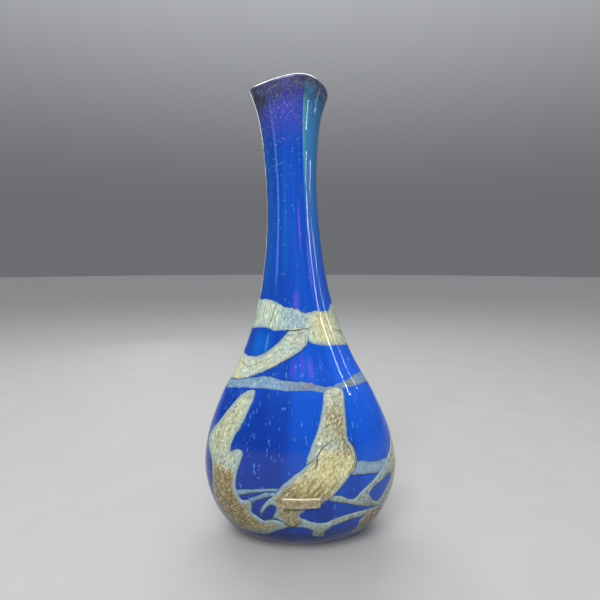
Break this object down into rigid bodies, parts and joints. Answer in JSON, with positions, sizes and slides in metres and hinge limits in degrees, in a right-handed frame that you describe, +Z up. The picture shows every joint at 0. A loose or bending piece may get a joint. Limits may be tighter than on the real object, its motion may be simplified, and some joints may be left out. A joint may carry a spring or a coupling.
{
  "type": "art glass vase",
  "caption": "Flattened blown glass bottle vase with a long leaning neck, cobalt wall, inlaid cream frit shards and a smoky wrapped lip.",
  "frame": {"origin": "middle of the vase's footprint, on the surface it stands on", "axes": "+Z up along the height, +X across the broad face of the flattened body to the viewer's right, -Y towards the front with the label"},
  "size_m": [0.2074, 0.1329, 0.4726],
  "materials": {
    "clear_casing": "fire polished clear glass with small seeds",
    "inner_gather": "clear glass with a faint blue cast",
    "lip_wrap": "smoky grey glass, fire polished",
    "cobalt_overlay": "deep cobalt blue glass, opaque from outside",
    "cream_frit": "grainy cream and grey frit under clear glass",
    "gold_frit": "grainy olive and gold-brown frit under clear glass",
    "pale_blue_frit": "thin pale blue-grey frit over cobalt",
    "foil_label": "small worn pale gold foil label, blank"
  },
  "bodies": {
    "root": {"clear_casing": "clear_casing", "inner_gather": "inner_gather", "lip_wrap": "lip_wrap", "cobalt_overlay": "cobalt_overlay", "shoulder_band": "cream_frit", "waist_band": "cream_frit", "diagonal_strap": "cream_frit", "left_limb": "cream_frit", "centre_limb": "gold_frit", "cross_branch": "pale_blue_frit", "right_limb": "cream_frit", "lower_strand": "cream_frit", "foot_patch": "gold_frit", "upper_trail": "pale_blue_frit", "lower_trail": "pale_blue_frit", "back_strap": "cream_frit", "back_limb": "gold_frit", "back_left_limb": "cream_frit", "back_web": "gold_frit", "foil_label": "foil_label"}
  },
  "joints": []
}
